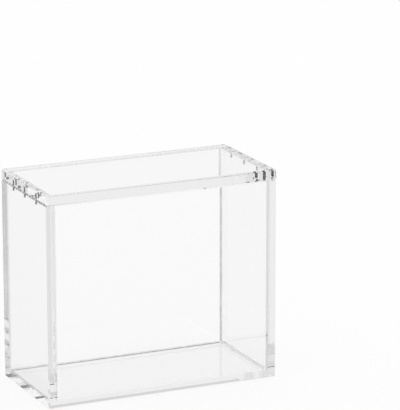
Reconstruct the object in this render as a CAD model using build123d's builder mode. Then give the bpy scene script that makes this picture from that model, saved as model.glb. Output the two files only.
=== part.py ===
"""Clear acrylic display case with a lift-off lid held by small magnets.

The case is a box of flat, clear sheets. The two side panels run the full
depth and the front and back panels stand between them. All four stand on the
base panel, and the lid panel lies flush over their top edges. Small rod
magnets sit upright in blind pockets in the top edges of the side panels, each
under a like magnet in the lid. The wall magnets stand a hair proud of the rim,
so each pair meets and the lid rests on them.

Millimetres. X is the width, Y the depth with the front at -Y, and Z is up.
The origin is the middle of the underside.
"""
import os

from build123d import *

os.makedirs("parts", exist_ok=True)

# The room inside, for a standard card box with a little air around it
room_width = 193.0
room_depth = 88.0
room_height = 167.0

# Sheet thickness: the side panels, the front and back panels, base and lid
side_thickness = 7.5
face_thickness = 6.0
base_thickness = 6.0
lid_thickness = 9.0

# Polished bevel along every outer edge, and the hairline under the lid
edge_break = 1.0
lid_gap = 0.1

# Rod magnets, upright in the side panels and in the lid
magnet_diameter = 4.0
wall_magnet_length = 4.0
lid_magnet_length = 5.0
magnet_bevel = 0.2
magnet_side_clearance = 0.05
magnet_end_clearance = 0.1
magnet_places = ("front", "middle", "rear")

# Sizes of the closed case
case_width = room_width + 2 * side_thickness
case_depth = room_depth + 2 * face_thickness
rim_height = base_thickness + room_height
lid_low = rim_height + lid_gap

# Where the magnets stand: in the middle of the side panels' thickness, and
# evenly spread over the depth of the case
magnet_x = (room_width + side_thickness) / 2
magnet_pitch = case_depth / (len(magnet_places) + 1)
magnet_y = [
    -case_depth / 2 + magnet_pitch * (place + 1) for place in range(len(magnet_places))
]
pocket_radius = magnet_diameter / 2 + magnet_side_clearance


def save(piece, name):
    """Label a finished piece and write it under its own name."""
    piece.part.label = name
    export_step(piece.part, f"parts/{name}.step")


def base_panel():
    """The floor of the case: its full footprint, under all four walls."""
    with BuildPart() as panel:
        with BuildSketch():
            Rectangle(case_width, case_depth)
        extrude(amount=base_thickness)
        corners = panel.edges().filter_by(Axis.Z)
        underside = panel.edges().group_by(Axis.Z)[0]
        chamfer(corners + underside, edge_break)
    return panel


def face_panel(outward):
    """The front or the back, between the two side panels."""
    with BuildPart() as panel:
        with BuildSketch(Plane.XY.offset(base_thickness)):
            with Locations((0, outward * (room_depth + face_thickness) / 2)):
                Rectangle(room_width, face_thickness)
        extrude(amount=room_height)
        rim_edges = panel.edges().group_by(Axis.Z)[-1].sort_by(Axis.Y)
        chamfer(rim_edges[0 if outward < 0 else -1], edge_break)
    return panel


def side_panel(outward):
    """A side, over the full depth, with magnet pockets in its top edge."""
    with BuildPart() as panel:
        with BuildSketch(Plane.XY.offset(base_thickness)):
            with Locations((outward * magnet_x, 0)):
                Rectangle(side_thickness, case_depth)
        extrude(amount=room_height)
        upright_edges = panel.edges().filter_by(Axis.Z).sort_by(Axis.X)
        rim_edges = panel.edges().group_by(Axis.Z)[-1].sort_by(Axis.X)
        # The edges that show outside: not the ones that face the room
        outer_uprights = upright_edges[:2] if outward < 0 else upright_edges[-2:]
        outer_rim = rim_edges[:3] if outward < 0 else rim_edges[-3:]
        chamfer(outer_uprights + outer_rim, edge_break)
        with BuildSketch(Plane.XY.offset(rim_height)):
            with Locations(*[(outward * magnet_x, y) for y in magnet_y]):
                Circle(pocket_radius)
        pocket_depth = wall_magnet_length + magnet_end_clearance - lid_gap
        extrude(amount=-pocket_depth, mode=Mode.SUBTRACT)
    return panel


def lid_panel():
    """The lid: its full footprint, with magnet pockets in its underside."""
    with BuildPart() as panel:
        with BuildSketch(Plane.XY.offset(lid_low)):
            Rectangle(case_width, case_depth)
        extrude(amount=lid_thickness)
        chamfer(panel.edges(), edge_break)
        with BuildSketch(Plane.XY.offset(lid_low)):
            with Locations(*[(side * magnet_x, y) for side in (-1, 1) for y in magnet_y]):
                Circle(pocket_radius)
        extrude(amount=lid_magnet_length + magnet_end_clearance, mode=Mode.SUBTRACT)
    return panel


def rod_magnet(x, y, low, length):
    """A plated rod magnet standing upright, with small bevels at both ends."""
    with BuildPart() as magnet:
        with BuildSketch(Plane.XY.offset(low)):
            with Locations((x, y)):
                Circle(magnet_diameter / 2)
        extrude(amount=length)
        chamfer(magnet.edges().filter_by(GeomType.CIRCLE), magnet_bevel)
    return magnet


save(base_panel(), "base_panel")
save(face_panel(-1), "front_panel")
save(face_panel(1), "back_panel")
save(side_panel(-1), "left_panel")
save(side_panel(1), "right_panel")
save(lid_panel(), "lid_panel")

for side_name, side in (("left", -1), ("right", 1)):
    for place_name, y in zip(magnet_places, magnet_y):
        wall_magnet = rod_magnet(
            side * magnet_x, y, lid_low - wall_magnet_length, wall_magnet_length
        )
        save(wall_magnet, f"{side_name}_wall_magnet_{place_name}")
        lid_magnet = rod_magnet(side * magnet_x, y, lid_low, lid_magnet_length)
        save(lid_magnet, f"{side_name}_lid_magnet_{place_name}")
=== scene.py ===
"""Looks of the clear acrylic display case: its sheets, seams, magnets, studio and camera.

The CAD pieces stay as they are and get their finish here. Metres, in the frame
of the CAD model: X is the width, the front faces -Y, and Z is up.
"""
import math

import bpy
from mathutils import Matrix, Vector


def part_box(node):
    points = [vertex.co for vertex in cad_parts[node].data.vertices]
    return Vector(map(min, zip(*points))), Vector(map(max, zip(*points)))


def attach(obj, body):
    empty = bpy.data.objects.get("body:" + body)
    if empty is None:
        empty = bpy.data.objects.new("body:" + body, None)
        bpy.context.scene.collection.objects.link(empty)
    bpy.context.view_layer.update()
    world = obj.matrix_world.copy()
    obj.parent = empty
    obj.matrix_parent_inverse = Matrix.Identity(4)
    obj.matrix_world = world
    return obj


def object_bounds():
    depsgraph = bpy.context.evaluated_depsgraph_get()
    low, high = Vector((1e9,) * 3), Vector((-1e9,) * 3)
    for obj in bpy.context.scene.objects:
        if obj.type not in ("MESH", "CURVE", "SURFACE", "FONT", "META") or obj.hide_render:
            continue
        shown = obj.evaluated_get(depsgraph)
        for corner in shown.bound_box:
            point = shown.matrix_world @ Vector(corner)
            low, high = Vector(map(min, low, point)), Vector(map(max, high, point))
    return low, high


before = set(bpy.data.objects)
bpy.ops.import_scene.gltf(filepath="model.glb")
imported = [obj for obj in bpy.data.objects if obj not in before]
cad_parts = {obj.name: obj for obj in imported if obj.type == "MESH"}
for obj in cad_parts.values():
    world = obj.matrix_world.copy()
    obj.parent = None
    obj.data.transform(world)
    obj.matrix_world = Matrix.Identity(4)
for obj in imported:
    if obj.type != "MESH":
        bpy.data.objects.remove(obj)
cad_low, cad_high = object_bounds()

MM = 0.001

# Camera: it looks down on the front left corner. The focal length and the frame
# are in pixels, the sensor in millimetres
AZIMUTH = math.radians(-24.923)
ELEVATION = math.radians(14.805)
ROLL = math.radians(-0.044)
CAMERA_DISTANCE = 2580.2 * MM
AIM = Vector((56.5, 0.0, 144.5)) * MM
FOCAL_PIXELS = 3043.1
FRAME_WIDTH, FRAME_HEIGHT = 400, 410
SENSOR = 36.0

# Clear cast acrylic: refraction, how much light each metre takes, and how often
# light may turn inside it
ACRYLIC_IOR = 1.49
ACRYLIC_ABSORPTION = 0.35
LIGHT_BOUNCES = 128

# How near a face has to be to a joint's plane to count as part of the joint
JOINT_TOLERANCE = 0.02 * MM

# A ray shorter than this has only just left the joint's other face
TWIN_FACE_REACH = 0.01 * MM

# How much is left of the light that a hairline joint throws back
JOINT_SHEEN = 0.9

# Magnet plating: its colour, the scale and detail of its grain, and the range of
# its roughness
PLATING_COLOUR = (0.1, 0.1, 0.105, 1)
PLATING_GRAIN_SCALE = 900.0
PLATING_GRAIN_DETAIL = 4.0
PLATING_SMOOTH, PLATING_ROUGH = 0.18, 0.34

# Cement: what it lets through at each face and how much that varies, the scale and
# detail of the noise that clouds it, and the part of that noise which counts
CEMENT_TINT = 0.9
CEMENT_TINT_SPREAD = 0.04
CEMENT_CLOUD_SCALE = 140.0
CEMENT_CLOUD_DETAIL = 2.0
CEMENT_CLOUD_START, CEMENT_CLOUD_END = 0.3, 0.7

# Cement fillets along the inside corners: their legs at the sides of the floor and
# at the rear, their gap to the sheets, and the steps in their hollow curve
SIDE_FILLET_LEG = 2.0 * MM
REAR_FILLET_LEG = 1.4 * MM
FILLET_GAP = 0.02 * MM
FILLET_STEPS = 6

# Studio: how bright each part of it looks, where 1 is white
WHITE = 1.0
BACKDROP_RIGHT = 0.89
BACKDROP_LEFT = 0.78
FLOOR_AHEAD = 0.75
SOFT_BOX_AHEAD = 1.1
SIDE_STRIPS = 1.0
CEILING = 0.15

# Where one part of the studio turns into the next: how far a direction of length 1
# reaches along an axis there
STRIP_INNER_START, STRIP_INNER_FULL = 0.79, 0.85
STRIP_OUTER_FULL, STRIP_OUTER_END = 0.9, 0.95
CEILING_START, CEILING_FULL = 0.68, 0.78
BLEND_ACROSS = 0.15
BLEND_LEVEL = 0.03

# Floor: its size, its gap under the case, its colour, how much shadow it keeps, and
# the painted contact shadow that reflections show close round the case
FLOOR_SIZE = 6.0
FLOOR_GAP = 0.4 * MM
FLOOR_COLOUR = 0.92
SHADOW_SHARE = 0.1
# Painted shadow: how bright the grey glow is that stands in for a contact shadow in reflections,
# and how far round the case it reaches
PAINTED_CONTACT_SHADOW = 0.68
PAINTED_SHADOW_REACH = 25 * MM

# The room inside, between the panels' inner faces, and the rim of the walls
ROOM_HALF_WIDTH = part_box("right_panel")[0].x
ROOM_HALF_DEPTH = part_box("back_panel")[0].y
ROOM_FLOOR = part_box("base_panel")[1].z
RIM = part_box("right_panel")[1].z

WALL_AND_BASE_NODES = ("base_panel", "front_panel", "back_panel", "left_panel", "right_panel")
LID_NODE = "lid_panel"


class Nodes:
    """Short calls for building the node tree of one material or of the world."""

    def __init__(self, owner):
        owner.use_nodes = True
        self.tree = owner.node_tree
        self.tree.nodes.clear()

    def add(self, kind, **values):
        """Add a node and set its sockets by name."""
        node = self.tree.nodes.new(kind)
        for name, value in values.items():
            node.inputs[name.replace("_", " ")].default_value = value
        return node

    def link(self, source, target):
        """Join two sockets."""
        self.tree.links.new(source, target)

    def feed(self, target, value):
        """Give an input a plain number, or join it to a socket."""
        if isinstance(value, (int, float)):
            target.default_value = value
        else:
            self.link(value, target)

    def math(self, operation, first, second=None):
        """One math node on sockets or plain numbers; returns its result."""
        node = self.tree.nodes.new("ShaderNodeMath")
        node.operation = operation
        self.feed(node.inputs[0], first)
        if second is not None:
            self.feed(node.inputs[1], second)
        return node.outputs[0]

    def ramp(self, value, start, end, low, high):
        """A smooth step of value from start to end, between the tones low and high."""
        node = self.tree.nodes.new("ShaderNodeMapRange")
        node.interpolation_type = "SMOOTHSTEP"
        self.link(value, node.inputs["Value"])
        self.feed(node.inputs["From Min"], start)
        self.feed(node.inputs["From Max"], end)
        self.feed(node.inputs["To Min"], low)
        self.feed(node.inputs["To Max"], high)
        return node.outputs["Result"]

    def mix(self, share, first, second):
        """Mix two shaders; share is a number or a socket."""
        node = self.tree.nodes.new("ShaderNodeMixShader")
        self.feed(node.inputs[0], share)
        self.link(first, node.inputs[1])
        self.link(second, node.inputs[2])
        return node.outputs[0]

    def axes(self, space):
        """X, Y and Z of one kind of texture coordinate."""
        split = self.add("ShaderNodeSeparateXYZ")
        self.link(self.add("ShaderNodeTexCoord").outputs[space], split.inputs[0])
        return [split.outputs[axis] for axis in "XYZ"]

    def noise(self, scale, detail):
        """Noise through the piece, which moves with it."""
        node = self.add("ShaderNodeTexNoise", Scale=scale, Detail=detail)
        self.link(self.add("ShaderNodeTexCoord").outputs["Object"], node.inputs["Vector"])
        return node.outputs["Fac"]

    def show(self, shader, output="ShaderNodeOutputMaterial"):
        """End the tree in a shader; returns the output node."""
        node = self.add(output)
        self.link(shader, node.inputs["Surface"])
        return node


def joint_masks(nodes):
    """Where two sheets meet: 1 on the faces of the base joints and of the corner joints."""
    x, y, z = nodes.axes("Object")
    across = nodes.math("ABSOLUTE", x)
    along = nodes.math("ABSOLUTE", y)

    def near(value, plane):
        off = nodes.math("ABSOLUTE", nodes.math("SUBTRACT", value, plane))
        return nodes.math("LESS_THAN", off, JOINT_TOLERANCE)

    beyond_side = nodes.math("GREATER_THAN", across, ROOM_HALF_WIDTH - JOINT_TOLERANCE)
    beyond_face = nodes.math("GREATER_THAN", along, ROOM_HALF_DEPTH - JOINT_TOLERANCE)
    border = nodes.math("MAXIMUM", beyond_side, beyond_face)
    base_joint = nodes.math("MULTIPLY", near(z, ROOM_FLOOR), border)
    corner_joint = nodes.math("MULTIPLY", near(across, ROOM_HALF_WIDTH), beyond_face)
    return base_joint, corner_joint


def hairline_joint(nodes, through):
    """A hairline of air between two sheets: slanting light is thrown back, the rest goes on.

    The two faces of the joint lie on each other, so light inside a sheet may
    meet either first: its own as it leaves, or the other as it arrives.
    """
    light_path = nodes.add("ShaderNodeLightPath")
    facing = nodes.add("ShaderNodeNewGeometry")
    leaving = nodes.add("ShaderNodeFresnel", IOR=ACRYLIC_IOR).outputs[0]
    arriving = nodes.add("ShaderNodeFresnel", IOR=1 / ACRYLIC_IOR).outputs[0]
    inside = facing.outputs["Backfacing"]
    outside = nodes.math("SUBTRACT", 1.0, inside)
    back = nodes.math("ADD", nodes.math("MULTIPLY", leaving, inside),
                      nodes.math("MULTIPLY", arriving, outside))
    far = nodes.math("GREATER_THAN", light_path.outputs["Ray Length"], TWIN_FACE_REACH)
    sheen = nodes.add("ShaderNodeBsdfGlossy", Roughness=0.0,
                      Color=(JOINT_SHEEN, JOINT_SHEEN, JOINT_SHEEN, 1))
    return nodes.mix(nodes.math("MULTIPLY", back, far), through, sheen.outputs[0])


def acrylic(name, jointed):
    """Clear polished acrylic, with its joints where two sheets meet."""
    material = bpy.data.materials.new(name)
    nodes = Nodes(material)
    surface = nodes.add("ShaderNodeBsdfGlass", IOR=ACRYLIC_IOR, Roughness=0.0,
                        Color=(1, 1, 1, 1)).outputs[0]
    if jointed:
        base_joint, corner_joint = joint_masks(nodes)
        through = nodes.add("ShaderNodeBsdfTransparent", Color=(1, 1, 1, 1)).outputs[0]
        surface = nodes.mix(base_joint, surface, through)
        surface = nodes.mix(corner_joint, surface, hairline_joint(nodes, through))
    absorption = nodes.add("ShaderNodeVolumeAbsorption", Density=ACRYLIC_ABSORPTION,
                           Color=(0, 0, 0, 1))
    output = nodes.show(surface)
    nodes.link(absorption.outputs[0], output.inputs["Volume"])
    return material


def magnet_plating():
    """Dark nickel plating, with faint uneven polish."""
    material = bpy.data.materials.new("magnet_plating")
    nodes = Nodes(material)
    grain = nodes.noise(PLATING_GRAIN_SCALE, PLATING_GRAIN_DETAIL)
    polish = nodes.add("ShaderNodeMapRange", To_Min=PLATING_SMOOTH, To_Max=PLATING_ROUGH)
    nodes.link(grain, polish.inputs["Value"])
    plating = nodes.add("ShaderNodeBsdfPrincipled", Metallic=1.0, Base_Color=PLATING_COLOUR)
    nodes.link(polish.outputs["Result"], plating.inputs["Roughness"])
    nodes.show(plating.outputs[0])
    return material


def cement():
    """Cured clear cement: a little greyer than the sheets, and faintly cloudy."""
    material = bpy.data.materials.new("cement")
    nodes = Nodes(material)
    cloud = nodes.noise(CEMENT_CLOUD_SCALE, CEMENT_CLOUD_DETAIL)
    tint = nodes.ramp(cloud, CEMENT_CLOUD_START, CEMENT_CLOUD_END,
                      CEMENT_TINT - CEMENT_TINT_SPREAD, CEMENT_TINT + CEMENT_TINT_SPREAD)
    glass = nodes.add("ShaderNodeBsdfGlass", IOR=ACRYLIC_IOR, Roughness=0.0)
    nodes.link(tint, glass.inputs["Color"])
    nodes.show(glass.outputs[0])
    return material


def dress(node, material):
    """Give a CAD piece its finish, in every material slot it has."""
    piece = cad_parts[node]
    for slot in piece.material_slots:
        slot.material = material


def dress_pieces():
    """Give every CAD piece its finish: what is neither a wall, the base nor the lid is a magnet."""
    wall_acrylic = acrylic("clear_acrylic_walls", jointed=True)
    lid_acrylic = acrylic("clear_acrylic_lid", jointed=False)
    plating = magnet_plating()
    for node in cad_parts:
        if node == LID_NODE:
            dress(node, lid_acrylic)
        elif node in WALL_AND_BASE_NODES:
            dress(node, wall_acrylic)
        else:
            dress(node, plating)


def mesh_object(name, points, faces, material):
    """A new object in the scene, from its points and faces."""
    mesh = bpy.data.meshes.new(name)
    mesh.from_pydata(points, [], faces)
    mesh.materials.append(material)
    piece = bpy.data.objects.new(name, mesh)
    bpy.context.scene.collection.objects.link(piece)
    return piece


def fillet_section(leg):
    """Points of a hollow fillet with its square corner at the origin, legs along +U and +V."""
    hollow = leg - FILLET_GAP
    points = [(FILLET_GAP, FILLET_GAP)]
    for step in range(FILLET_STEPS + 1):
        angle = math.radians(90) * step / FILLET_STEPS
        points.append((leg - hollow * math.sin(angle), leg - hollow * math.cos(angle)))
    return points


def cement_fillet(name, start, end, toward_u, toward_v, leg, material):
    """A bead of cement from start to end along an inside corner."""
    section = fillet_section(leg)
    corners = []
    for end_point in (start, end):
        for u, v in section:
            corners.append(end_point + toward_u * u + toward_v * v)
    count = len(section)
    faces = [tuple(range(count)), tuple(range(2 * count - 1, count - 1, -1))]
    for index in range(count):
        following = (index + 1) % count
        faces.append((following, index, index + count, following + count))
    bead = mesh_object(name, corners, faces, material)
    if toward_u.cross(toward_v).dot(end - start) < 0:
        bead.data.flip_normals()
    bead.data.validate()
    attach(bead, "case")


def cement_fillets():
    """Beads up the two rear inside corners, and along the floor at the sides and the rear.

    The front panel's own seams have none, as on a case whose front goes on last.
    """
    material = cement()
    width, depth = ROOM_HALF_WIDTH, ROOM_HALF_DEPTH
    up = Vector((0, 0, 1))
    forward = Vector((0, -1, 0))
    for side, side_name in ((-1, "left"), (1, "right")):
        inward = Vector((-side, 0, 0))
        foot = Vector((side * width, depth, ROOM_FLOOR + REAR_FILLET_LEG))
        head = Vector((side * width, depth, RIM - REAR_FILLET_LEG))
        cement_fillet(f"cement_upright_{side_name}", foot, head, inward, forward,
                      REAR_FILLET_LEG, material)
        near = Vector((side * width, SIDE_FILLET_LEG - depth, ROOM_FLOOR))
        far = Vector((side * width, depth - REAR_FILLET_LEG, ROOM_FLOOR))
        cement_fillet(f"cement_floor_{side_name}", near, far, inward, up,
                      SIDE_FILLET_LEG, material)
    left = Vector((SIDE_FILLET_LEG - width, depth, ROOM_FLOOR))
    right = Vector((width - SIDE_FILLET_LEG, depth, ROOM_FLOOR))
    cement_fillet("cement_floor_rear", left, right, forward, up, REAR_FILLET_LEG, material)


def reflected_tone(nodes):
    """How bright the studio looks in a reflection, by the direction from the case.

    A pale backdrop stands behind, a little dimmer at the left. The floor in
    front is dimmer still, with a soft box over it. A white strip stands at each
    side, and the ceiling is dark.
    """
    across, along, level = nodes.axes("Generated")
    backdrop = nodes.ramp(across, -BLEND_ACROSS, BLEND_ACROSS, BACKDROP_LEFT, BACKDROP_RIGHT)
    ahead = nodes.ramp(level, -BLEND_LEVEL, BLEND_LEVEL, FLOOR_AHEAD, SOFT_BOX_AHEAD)
    around = nodes.ramp(along, -BLEND_ACROSS, BLEND_ACROSS, ahead, backdrop)
    sideways = nodes.math("ABSOLUTE", across)
    strip = nodes.ramp(sideways, STRIP_INNER_START, STRIP_INNER_FULL, around, SIDE_STRIPS)
    walls = nodes.ramp(sideways, STRIP_OUTER_FULL, STRIP_OUTER_END, strip, around)
    return nodes.ramp(level, CEILING_START, CEILING_FULL, walls, CEILING)


def in_reflection(nodes):
    """1 for light that was thrown back on its way, 0 for what is seen straight through."""
    light_path = nodes.add("ShaderNodeLightPath")
    return nodes.math("GREATER_THAN", light_path.outputs["Glossy Depth"], 0)


def studio():
    """White all round, seen straight or through the sheets, and toned in reflections."""
    world = bpy.data.worlds.new("studio")
    bpy.context.scene.world = world
    nodes = Nodes(world)
    background = nodes.add("ShaderNodeBackground", Color=(1, 1, 1, 1))
    strength = nodes.ramp(in_reflection(nodes), 0, 1, WHITE, reflected_tone(nodes))
    nodes.link(strength, background.inputs["Strength"])
    nodes.show(background.outputs[0], "ShaderNodeOutputWorld")


def beside_case(nodes):
    """1 on the floor under and close round the case, where the painted contact shadow goes."""
    x, y, _ = nodes.axes("Object")
    close = []
    for place, half in ((x, cad_high.x), (y, cad_high.y)):
        away = nodes.math("ABSOLUTE", place)
        close.append(nodes.math("LESS_THAN", away, half + PAINTED_SHADOW_REACH))
    return nodes.math("MULTIPLY", *close)


def floor_paint():
    """White that keeps a faint shadow of the case.

    Reflections see a painted contact shadow close round the case, and the studio past it.
    """
    material = bpy.data.materials.new("floor")
    nodes = Nodes(material)
    glow = nodes.add("ShaderNodeEmission", Color=(1, 1, 1, 1), Strength=WHITE)
    paint = nodes.add("ShaderNodeBsdfDiffuse", Color=(FLOOR_COLOUR, FLOOR_COLOUR, FLOOR_COLOUR, 1))
    shaded = nodes.mix(SHADOW_SHARE, glow.outputs[0], paint.outputs[0])
    # Painted shadow: a grey glow on the floor close round the case, seen only in reflections,
    # stands in for a contact shadow
    painted_shadow = nodes.add("ShaderNodeEmission", Color=(1, 1, 1, 1), Strength=PAINTED_CONTACT_SHADOW)
    clear = nodes.add("ShaderNodeBsdfTransparent", Color=(1, 1, 1, 1))
    reflected = nodes.mix(beside_case(nodes), clear.outputs[0], painted_shadow.outputs[0])
    nodes.show(nodes.mix(in_reflection(nodes), shaded, reflected))
    return material


def pale_floor():
    """The white floor that the case stands on."""
    half = FLOOR_SIZE / 2
    low = cad_low.z - FLOOR_GAP
    corners = [(-half, -half, low), (half, -half, low), (half, half, low), (-half, half, low)]
    floor = mesh_object("floor", corners, [(0, 1, 2, 3)], floor_paint())


def camera():
    """The camera at the photograph's viewing angle, with a long lens."""
    back = Vector((math.sin(AZIMUTH) * math.cos(ELEVATION),
                   -math.cos(AZIMUTH) * math.cos(ELEVATION),
                   math.sin(ELEVATION)))
    level = Vector((math.cos(AZIMUTH), math.sin(AZIMUTH), 0))
    upright = back.cross(level)
    right = math.cos(ROLL) * level + math.sin(ROLL) * upright
    up = math.cos(ROLL) * upright - math.sin(ROLL) * level
    place = AIM + back * CAMERA_DISTANCE
    lens = bpy.data.cameras.new("camera")
    lens.sensor_width = SENSOR
    lens.lens = FOCAL_PIXELS * SENSOR / max(FRAME_WIDTH, FRAME_HEIGHT)
    eye = bpy.data.objects.new("camera", lens)
    eye.matrix_world = Matrix((
        (right.x, up.x, back.x, place.x),
        (right.y, up.y, back.y, place.y),
        (right.z, up.z, back.z, place.z),
        (0, 0, 0, 1),
    ))
    bpy.context.scene.collection.objects.link(eye)
    bpy.context.scene.camera = eye


dress_pieces()
cement_fillets()
studio()
pale_floor()
camera()

scene = bpy.context.scene
scene.view_settings.view_transform = "Standard"
scene.cycles.max_bounces = LIGHT_BOUNCES
scene.cycles.transmission_bounces = LIGHT_BOUNCES
scene.cycles.glossy_bounces = LIGHT_BOUNCES
scene.cycles.transparent_max_bounces = LIGHT_BOUNCES
